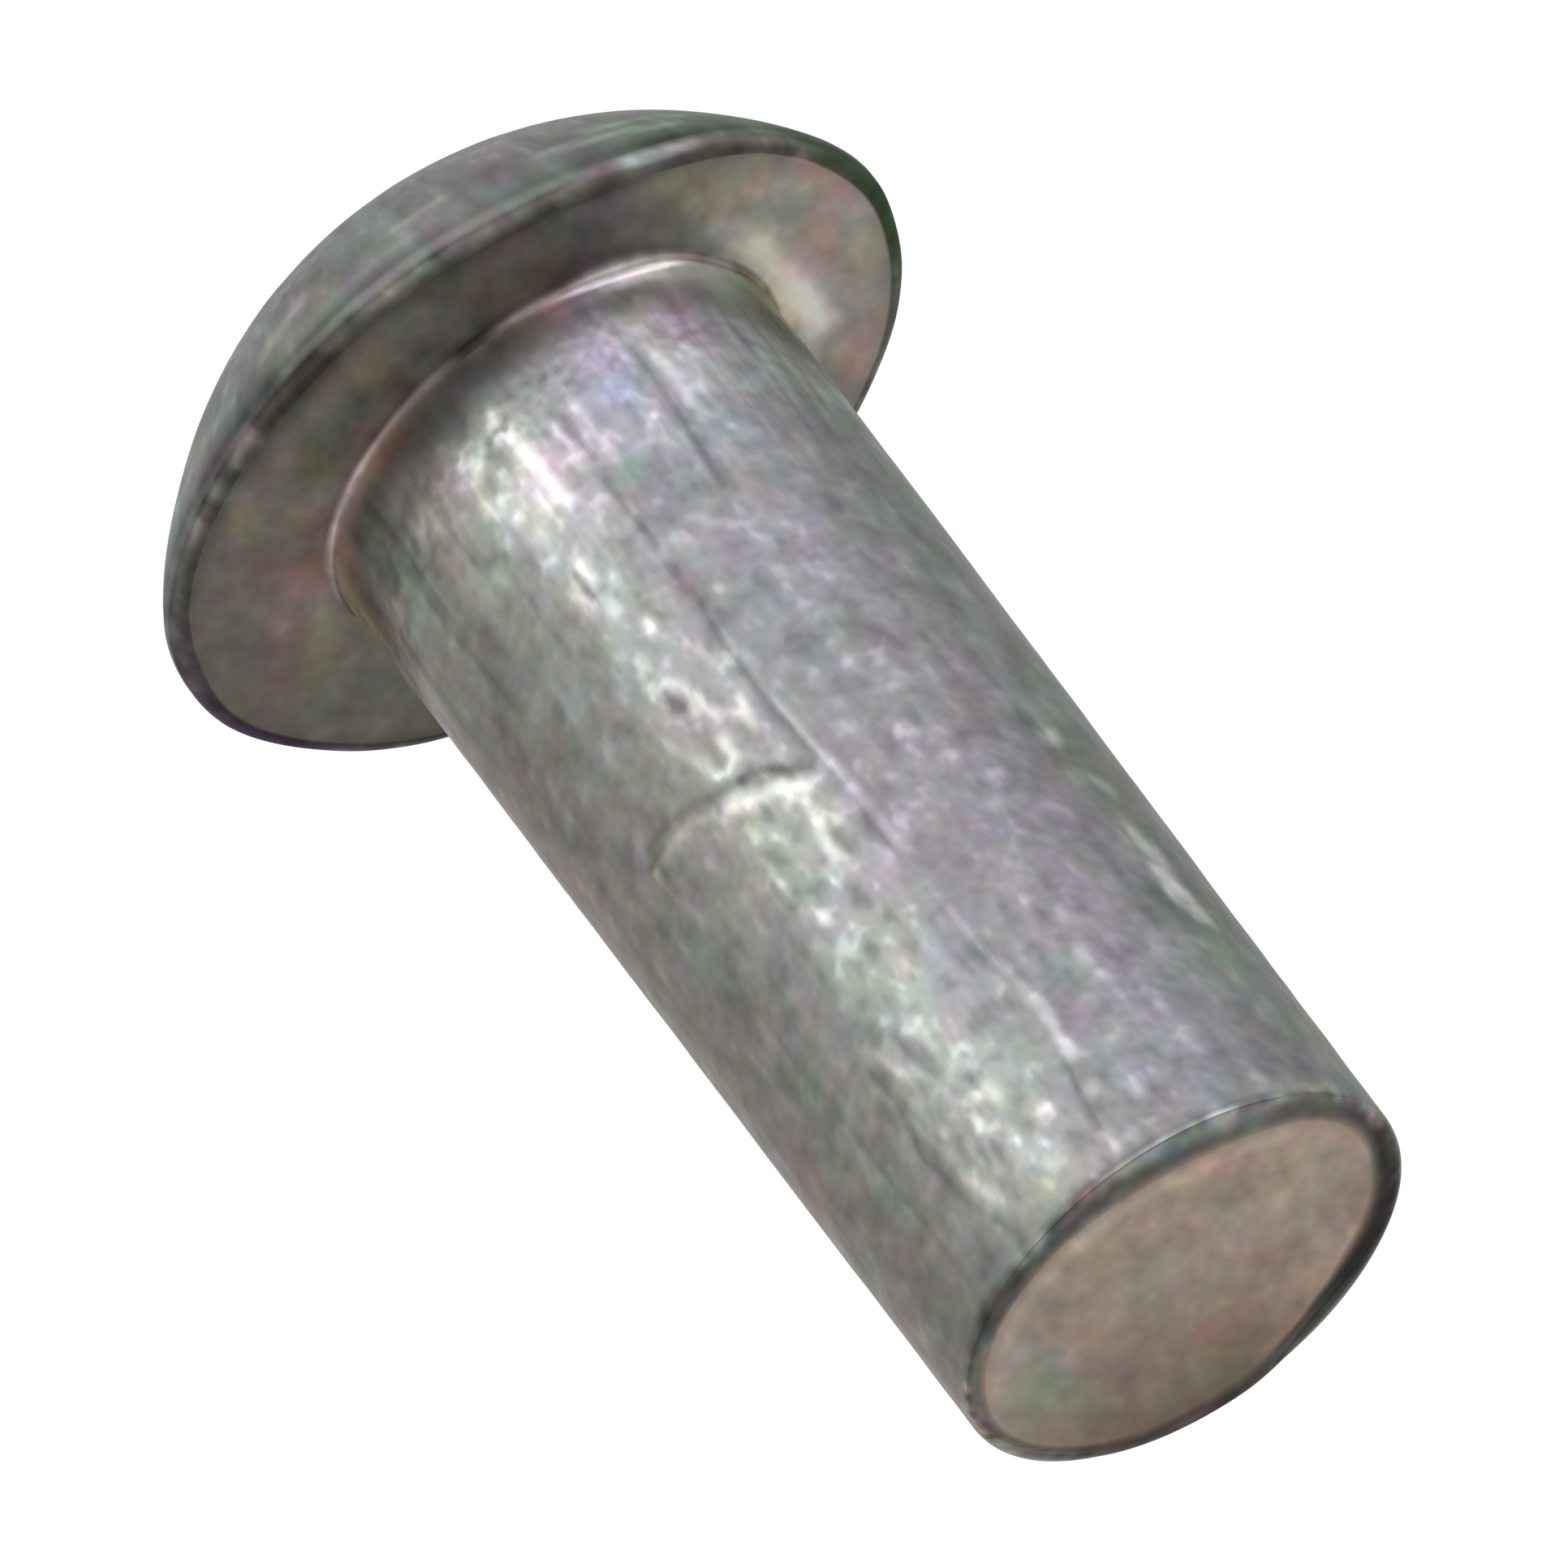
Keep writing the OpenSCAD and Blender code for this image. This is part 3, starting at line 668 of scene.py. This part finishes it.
# a mottled dark line just inside the rim, partly soot and partly painted shade, and darker within half a millimetre of
# the rim at the front left
out_d = (seat_out[None, :] * np.ones((R, 1)))[bf] - Rj
rim_dark = bell(out_d + 0.02, 0.12) * (0.45 + 0.55 * smooth(-0.2, 0.5, noise(3.0 * np.cos(np.radians(Aj)), 3.0 * np.sin(np.radians(Aj)), Rj * 1.2, 76)))
rim_dark = rim_dark * (1 - 0.8 * bell(wrap(Aj + 95), 25)) * (1 - 0.5 * right) + 0.5 * bell(out_d, 0.22) * smooth(0.02, 0.30, fbm(6.5 * np.cos(np.radians(Aj)), 6.5 * np.sin(np.radians(Aj)), 8.4 + 0 * Aj, 91, 3)) * bell(wrap(Aj + 22), 50)
lev *= (1 - 0.45 * rim_dark) * (1 - 0.30 * smooth(0.5, 0.0, out_d) * smooth(-70, -45, Aj) * (1 - smooth(20, 50, Aj)))
hj = hj * patchy(Xj * 2.2, Yj * 1.1, 0.7 + 0 * Xj, 83, (0.24 * (1 - 0.8 * lit_patch))[:, None])
tint[bf] = hj * lev[:, None]
k = int(np.argmax(ZONE[:, 0] == 4))  # the fillet runs into the bearing face
for n, share in ((1, 0.75), (2, 0.4)):
    tint[k - n] = tint[k - n] * (1 - share) + tint[k] * share
rough[bf], fleck[bf], stain[bf] = 0.46, 0.15, 1.1 - 0.9 * lit_patch

# rim: dark purple at the lower left, dark green at the right, worn and mottled in front
rm = ZONE == 5
Ar = ANGS[rm]
purple = bell(wrap(Ar + 108), 26)
greenr = bell(wrap(Ar - 95), 36)
# painted shade on the rim's side, which damps the light it catches, with a painted highlight near 40 degrees
side_up = smooth(SEAT_Z + 0.05 - 0.04 * bell(Ar - 40, 12), SEAT_Z + 0.20 - 0.12 * bell(Ar - 40, 12), ZED[rm])[:, None]
upper = 0.09 + 0.07 * side_up + 0.42 * bell(Ar - 40, 11)[:, None] * side_up
base = rgb(0.42, 0.385, 0.345)[None] * (1 - 0.55 * smooth(-42, -62, Ar))[:, None] * (1 - side_up) + rgb(1.0, 1.0, 0.97)[None] * upper * side_up
base = base * (1 - purple - greenr).clip(0, 1)[:, None] + rgb(0.08, 0.038, 0.105)[None] * purple[:, None] + rgb(0.038, 0.098, 0.030)[None] * greenr[:, None]
rc, rs = np.cos(np.radians(Ar)), np.sin(np.radians(Ar))
# soot in irregular spots along the side, thickest at the left front
soot = smooth(0.02, 0.30, fbm(6.5 * rc, 6.5 * rs, 0.6 * ZED[rm], 91, 3)) * (0.35 + 0.65 * bell(wrap(Ar + 22), 50)) * (1 - 0.7 * bell(Ar - 40, 12)) * (1 - purple - greenr).clip(0, 1)
mo = 0.6 * fbm(5.5 * rc, 5.5 * rs, ZED[rm] * 4.0, 77, 3) + 0.25 * noise(15 * rc, 15 * rs, ZED[rm] * 6.0, 90)
tint[rm] = np.clip(base * patchy(6 * rc, 6 * rs, ZED[rm] * 4.0, 87, 0.22) * (1 + 1.0 * mo)[:, None] * (1 - 0.62 * soot)[:, None] * (1 + soot[:, None] * (rgb(1.0, 0.97, 0.92) - 1)), 0.02, 1)
k = int(np.argmax(ZONE[:, 0] == 5))  # and the bearing face runs into the rim
edge_dark = (bell(wrap(ANG + 108), 30) + bell(wrap(ANG - 97), 36)).clip(0, 1)[:, None]
for n, share in ((0, 0.55), (1, 0.32), (2, 0.14)):
    share = share * (1 - 0.75 * edge_dark)
    tint[k + n] = tint[k + n] * (1 - share) + tint[k - 1] * share * 0.8
rough[rm], fleck[rm], stain[rm] = 0.66, 0.8, 1.2

# dome: grey-green, lilac at the left, dark green at the far right, with scuffs along the rim
dm = ZONE == 6
Ad = ANGS[dm]
Up = (ZED[dm] - SEAT_Z - RIM_TOP) / dome_h
Xd, Yd = X[dm], Y[dm]
hd = hue_curve(Ad, [(-180, (0.99, 1.0, 0.96)), (-95, (1.0, 0.99, 0.99)), (-60, (1.01, 0.99, 1.01)), (-30, (0.98, 1.01, 0.98)), (30, (0.97, 1.02, 0.97)), (46, (0.92, 1.05, 0.90)), (62, (0.80, 1.10, 0.74)), (84, (0.80, 1.10, 0.74)), (112, (0.97, 1.02, 0.95)), (180, (0.99, 1.0, 0.96))])
low = 1 - smooth(0.15, 0.45, Up)
hd = rgb(0.98, 1.0, 0.97) + (hd - rgb(0.98, 1.0, 0.97)) * low[:, None]
lev = 0.52 * (1 + (0.10 * bell(Ad + 55, 22) - 0.62 * bell(Ad - 84, 30)) * low) * (1 + 0.20 * fbm(*(1.2 * PLACE[dm].T), 78, 3))
lev *= 1 + 0.30 * bell(Ad - 8, 26) * bell(Up - 0.13, 0.07)
# painted shade on the dome just above the rim, darkest in front
lev *= 1 - (0.45 * bell(Ad + 26, 20) + 0.45 * bell(Ad - 42, 14) + 0.10) * bell(Up + 0.02, 0.09) * (1 + 0.5 * fbm(8 * np.cos(np.radians(Ad)), 8 * np.sin(np.radians(Ad)), Up * 3, 79, 2))


def scuff(a0, a1, u0, u1, wa, wu):
    """A streak on the dome from angle a0 at height share u0 to a1 at u1."""
    t = np.clip((Ad - a0) / (a1 - a0 + 1e-9), 0, 1)
    return bell(Up - (u0 + (u1 - u0) * t), wu) * bell(np.maximum(0, np.maximum(a0 - Ad, Ad - a1)), wa)


streaks = 1.0 * scuff(28, 46, 0.20, 0.13, 2.5, 0.028) + 0.8 * scuff(36, 52, 0.26, 0.22, 2.5, 0.025) + 0.8 * scuff(-24, -16, 0.22, 0.30, 2, 0.05) + 0.7 * scuff(2, 10, 0.24, 0.24, 2, 0.03) + 0.35 * scuff(-70, -40, 0.16, 0.18, 6, 0.04) + 0.3 * scuff(-14, 0, 0.10, 0.12, 4, 0.03)
lev *= 1 + 0.75 * streaks
hd = hd * (1 + np.clip(fbm(Xd * 0.7, Yd * 0.7, ZED[dm], 80, 2), 0, 1)[:, None] * (rgb(0.90, 1.04, 1.0) - 1))
hd = hd * patchy(*(1.5 * PLACE[dm].T), 85, (0.08 + 0.18 * low)[:, None])
tint[dm] = hd * np.clip(lev, 0.05, 0.95)[:, None]
rough[dm], fleck[dm], stain[dm] = 0.42, 0.45, (0.6 + 0.9 * low) * (1 - 0.35 * smooth(100, 130, np.abs(Ad)))


# ---------------------------------------------------------------- material
def attribute(name, grid, at_end, at_crown):
    """Store a painted zone on the vertices: the grid first, then the two poles."""
    if grid.ndim == 3:
        a = mesh.attributes.new(name, "FLOAT_COLOR", "POINT")
        full = np.concatenate([np.clip(grid, 0, 1).reshape(-1, 3), [at_end, at_crown]])
        full = np.concatenate([full, np.ones((len(full), 1))], 1)
        a.data.foreach_set("color", np.ascontiguousarray(full, np.float32).ravel())
    else:
        a = mesh.attributes.new(name, "FLOAT", "POINT")
        full = np.concatenate([grid.ravel(), [at_end, at_crown]])
        a.data.foreach_set("value", np.ascontiguousarray(full, np.float32))


where = mesh.attributes.new("place", "FLOAT_VECTOR", "POINT")
where.data.foreach_set("vector", np.concatenate([PLACE.reshape(-1, 3), [(0, 0, 0), (HEAD_SHIFT, 0, PLACE[-1, 0, 2] + 0.03)]]).astype(np.float32).ravel())
attribute("tint", tint, END_TINT, tint[-1].mean(0))
attribute("rough", rough, 0.50, 0.36)
attribute("fleck", fleck, 0.12, 0.45)
attribute("drawn", drawn, 0.0, 0.0)
attribute("stain", stain, 1.5, 1.4)

mat = bpy.data.materials.new("rivet_metal")
mat.use_nodes = True
nt = mat.node_tree
bsdf = nt.nodes["Principled BSDF"]
bsdf.inputs["Metallic"].default_value = 1.0
bsdf.inputs["Specular Tint"].default_value = (0.82, 0.82, 0.82, 1)  # duller at a glancing angle


def link(a, b):
    nt.links.new(a, b)


def calc(op, *values, clamp=False):
    n = nt.nodes.new("ShaderNodeMath")
    n.operation = op
    n.use_clamp = clamp
    for k, v in enumerate(values):
        if isinstance(v, (int, float)):
            n.inputs[k].default_value = v
        else:
            link(v, n.inputs[k])
    return n.outputs[0]


def vec(op, a, b):
    n = nt.nodes.new("ShaderNodeVectorMath")
    n.operation = op
    link(a, n.inputs[0])
    if op == "SCALE":
        if isinstance(b, (int, float)):
            n.inputs["Scale"].default_value = b
        else:
            link(b, n.inputs["Scale"])
    elif isinstance(b, tuple):
        n.inputs[1].default_value = b
    else:
        link(b, n.inputs[1])
    return n.outputs[0]


def noise_tex(where, scale, detail, roughness=0.5):
    n = nt.nodes.new("ShaderNodeTexNoise")
    n.inputs["Scale"].default_value = scale
    n.inputs["Detail"].default_value = detail
    n.inputs["Roughness"].default_value = roughness
    link(where, n.inputs["Vector"])
    return n


def ramp(value, lo, hi):
    n = nt.nodes.new("ShaderNodeMapRange")
    n.interpolation_type = "SMOOTHSTEP"
    link(value, n.inputs["Value"])
    n.inputs["From Min"].default_value, n.inputs["From Max"].default_value = lo, hi
    return n.outputs[0]


def attr(name):
    n = nt.nodes.new("ShaderNodeAttribute")
    n.attribute_name = name
    return n.outputs[{"tint": "Color", "place": "Vector"}.get(name, "Fac")]


place = attr("place")
a_tint, a_rough, a_fleck, a_drawn, a_stain = (attr(k) for k in ("tint", "rough", "fleck", "drawn", "stain"))
mid = noise_tex(place, 2.2, 2.0, 0.6).outputs["Fac"]
spots = noise_tex(vec("ADD", place, (3.1, 5.7, 1.3)), 4.1, 1.0, 0.45).outputs["Fac"]
lines = noise_tex(vec("MULTIPLY", place, (1, 1.78, 0.12)), 4.6, 1.6, 0.55).outputs["Fac"]
wander = noise_tex(vec("ADD", place, (8.3, 2.9, 4.1)), 2.1, 2.2, 0.62).outputs["Color"]

mid_c = calc("SUBTRACT", mid, 0.5)
mixed = calc("MULTIPLY_ADD", mid_c, 0.40, spots)
bright = calc("MULTIPLY", ramp(mixed, 0.56, 0.84), a_fleck)
pit = calc("MULTIPLY", ramp(mixed, 0.49, 0.21), a_fleck)

height = calc("MULTIPLY", calc("ADD", calc("MULTIPLY", spots, 0.011), calc("MULTIPLY", mid, 0.022)), calc("MULTIPLY_ADD", a_fleck, 0.75, 0.25))
height = calc("MULTIPLY_ADD", calc("MULTIPLY", lines, a_drawn), 0.010, height)
bump = nt.nodes.new("ShaderNodeBump")
bump.inputs["Strength"].default_value = 1.0
bump.inputs["Distance"].default_value = 0.001
link(height, bump.inputs["Height"])
link(bump.outputs[0], bsdf.inputs["Normal"])

# colour: the painted tint, wandering in hue and value, with bright flecks painted as glints and dark pits
hue_shift = vec("SCALE", vec("SUBTRACT", wander, (0.5, 0.5, 0.5)), calc("MULTIPLY", a_stain, 0.30))
colour = vec("MULTIPLY", a_tint, vec("ADD", hue_shift, (1.0, 1.0, 1.0)))
value = calc("MULTIPLY_ADD", mid_c, 0.72, calc("MULTIPLY_ADD", spots, 0.42, 0.79))
value = calc("MULTIPLY", value, calc("MULTIPLY_ADD", pit, -0.12, 1.0))
value = calc("MULTIPLY", value, calc("MULTIPLY_ADD", bright, 0.46, 1.0))
value = calc("MULTIPLY", value, calc("MULTIPLY_ADD", calc("MULTIPLY", calc("SUBTRACT", lines, 0.5), a_drawn), 1.15, 1.0))
colour = vec("MINIMUM", vec("SCALE", colour, value), (0.97, 0.96, 0.94))
link(colour, bsdf.inputs["Base Color"])
r = calc("MULTIPLY_ADD", mid_c, 0.18, a_rough)
r = calc("MULTIPLY_ADD", bright, -0.06, r)
r = calc("MULTIPLY_ADD", pit, 0.08, r)
r = calc("MAXIMUM", r, 0.12, clamp=True)
link(r, bsdf.inputs["Roughness"])
mesh.materials.append(mat)

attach(rivet, "root")
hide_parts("rivet")

# ---------------------------------------------------------------- camera
# axis: from head to free end. The shank's centre line runs down to the right in the picture, and
# the angle between the axis and the line of sight is 59.9 degrees.
THETA, PHI = math.radians(59.886), math.radians(52.934)
PX_PER_MM = 319.70 / 3.0
axis = Vector((0, 0, -1))
side = Vector((1, 0, 0))
toward = Vector((0, -math.sin(THETA), -math.cos(THETA)))  # from the rivet to the camera
u = (axis - toward * axis.dot(toward)).normalized()
right = u * math.cos(PHI) + side * math.sin(PHI)
up = -u * math.sin(PHI) + side * math.cos(PHI)
seat = Vector((0, 0, SEAT_Z))
aim = seat + right * ((966 - 684.37) / PX_PER_MM) - up * ((966 - 549.95) / PX_PER_MM)
FAR = 800.0  # a long lens
cam_data = bpy.data.cameras.new("camera")
cam_data.sensor_width = 36.0
cam_data.lens = 36.0 * FAR / (1932 / PX_PER_MM)
cam_data.clip_start, cam_data.clip_end = 0.01, 10.0
camera = bpy.data.objects.new("camera", cam_data)
# scale is right at the middle of what is seen, which lies nearer than the aim point
middle = Vector((0, 0, SEAT_Z / 2))
near = (middle - aim).dot(toward)
camera.matrix_world = Matrix.Translation((aim + toward * (near + FAR)) * MM) @ Matrix(
    (
        (right.x, up.x, toward.x, 0),
        (right.y, up.y, toward.y, 0),
        (right.z, up.z, toward.z, 0),
        (0, 0, 0, 1),
    )
)
bpy.context.scene.collection.objects.link(camera)
bpy.context.scene.camera = camera

# ---------------------------------------------------------------- floor, light, background
bpy.context.scene.view_settings.view_transform = "Standard"

floor_mesh = bpy.data.meshes.new("floor")
floor_mesh.from_pydata([(-1, -1, 0), (1, -1, 0), (1, 1, 0), (-1, 1, 0)], [], [(0, 1, 2, 3)])
floor = bpy.data.objects.new("floor", floor_mesh)
bpy.context.scene.collection.objects.link(floor)
floor_mat = bpy.data.materials.new("floor")
floor_mat.use_nodes = True
fnt = floor_mat.node_tree
fb = fnt.nodes["Principled BSDF"]
fb.inputs["Base Color"].default_value = (0.80, 0.80, 0.79, 1)
fb.inputs["Roughness"].default_value = 0.9
fb.inputs["Emission Color"].default_value = (1, 1, 0.99, 1)
fb.inputs["Emission Strength"].default_value = 0.30
geo = fnt.nodes.new("ShaderNodeNewGeometry")
clear = fnt.nodes.new("ShaderNodeBsdfTransparent")
mix = fnt.nodes.new("ShaderNodeMixShader")
fnt.links.new(geo.outputs["Backfacing"], mix.inputs[0])
# away from the rivet the floor pales into the background
spot = fnt.nodes.new("ShaderNodeTexCoord")
reach = fnt.nodes.new("ShaderNodeVectorMath")
reach.operation = "LENGTH"
fnt.links.new(spot.outputs["Object"], reach.inputs[0])
pale = fnt.nodes.new("ShaderNodeMapRange")
pale.interpolation_type = "SMOOTHSTEP"
pale.inputs["From Min"].default_value, pale.inputs["From Max"].default_value = 0.02, 0.10
fnt.links.new(reach.outputs["Value"], pale.inputs["Value"])
glow = fnt.nodes.new("ShaderNodeEmission")
glow.inputs["Color"].default_value = (1, 1, 1, 1)
sweep = fnt.nodes.new("ShaderNodeMixShader")
fnt.links.new(pale.outputs[0], sweep.inputs[0])
fnt.links.new(fb.outputs[0], sweep.inputs[1])
fnt.links.new(glow.outputs[0], sweep.inputs[2])
fnt.links.new(sweep.outputs[0], mix.inputs[1])
fnt.links.new(clear.outputs[0], mix.inputs[2])
fnt.links.new(mix.outputs[0], fnt.nodes["Material Output"].inputs["Surface"])
floor_mesh.materials.append(floor_mat)
floor.visible_shadow = False
floor.visible_diffuse = False
floor.visible_glossy = False

world = bpy.data.worlds.new("world")
bpy.context.scene.world = world
world.use_nodes = True
wnt = world.node_tree
bg = wnt.nodes["Background"]
# a soft studio: broad patches of neutral light around the rivet, each (direction, strength)
PATCHES = [
    ((-0.26, -0.81, 0.53), 1.33),
    ((0.59, -0.81, 0.0), 1.10),
    ((-0.95, -0.31, 0.0), 0.90),
    ((-0.59, 0.81, 0.0), 0.78),
    ((0.95, 0.31, 0.0), 0.80),
    ((0.95, -0.31, 0.0), 0.77),
    ((0.0, 1.0, 0.0), 0.66),
    ((-0.95, 0.31, 0.0), 0.58),
    ((0.59, 0.81, 0.0), 0.46),
    ((0.0, 0.50, 0.87), 0.55),
    ((-0.69, -0.5, -0.53), 0.38),
    ((0.69, -0.5, 0.53), 0.34),
    ((0.0, 0.87, -0.5), 0.38),
    ((0.05, -0.50, -0.87), 0.15),
]


def sky(op, *values):
    n = wnt.nodes.new("ShaderNodeMath")
    n.operation = op
    for k, v in enumerate(values):
        if isinstance(v, (int, float)):
            n.inputs[k].default_value = v
        else:
            wnt.links.new(v, n.inputs[k])
    return n.outputs[0]


heading = wnt.nodes.new("ShaderNodeTexCoord").outputs["Generated"]
total = None
for d, c in PATCHES:
    dot = wnt.nodes.new("ShaderNodeVectorMath")
    dot.operation = "DOT_PRODUCT"
    wnt.links.new(heading, dot.inputs[0])
    dot.inputs[1].default_value = Vector(d).normalized() * 8.0
    w = sky("EXPONENT", sky("SUBTRACT", dot.outputs["Value"], 8.0))
    total = sky("MULTIPLY", w, c) if total is None else sky("MULTIPLY_ADD", w, c, total)
wnt.links.new(total, bg.inputs["Color"])
white = wnt.nodes.new("ShaderNodeBackground")
white.inputs["Color"].default_value = (1, 1, 1, 1)
lp = wnt.nodes.new("ShaderNodeLightPath")
wmix = wnt.nodes.new("ShaderNodeMixShader")
wnt.links.new(lp.outputs["Is Camera Ray"], wmix.inputs[0])
wnt.links.new(bg.outputs[0], wmix.inputs[1])
wnt.links.new(white.outputs[0], wmix.inputs[2])
wnt.links.new(wmix.outputs[0], wnt.nodes["World Output"].inputs["Surface"])
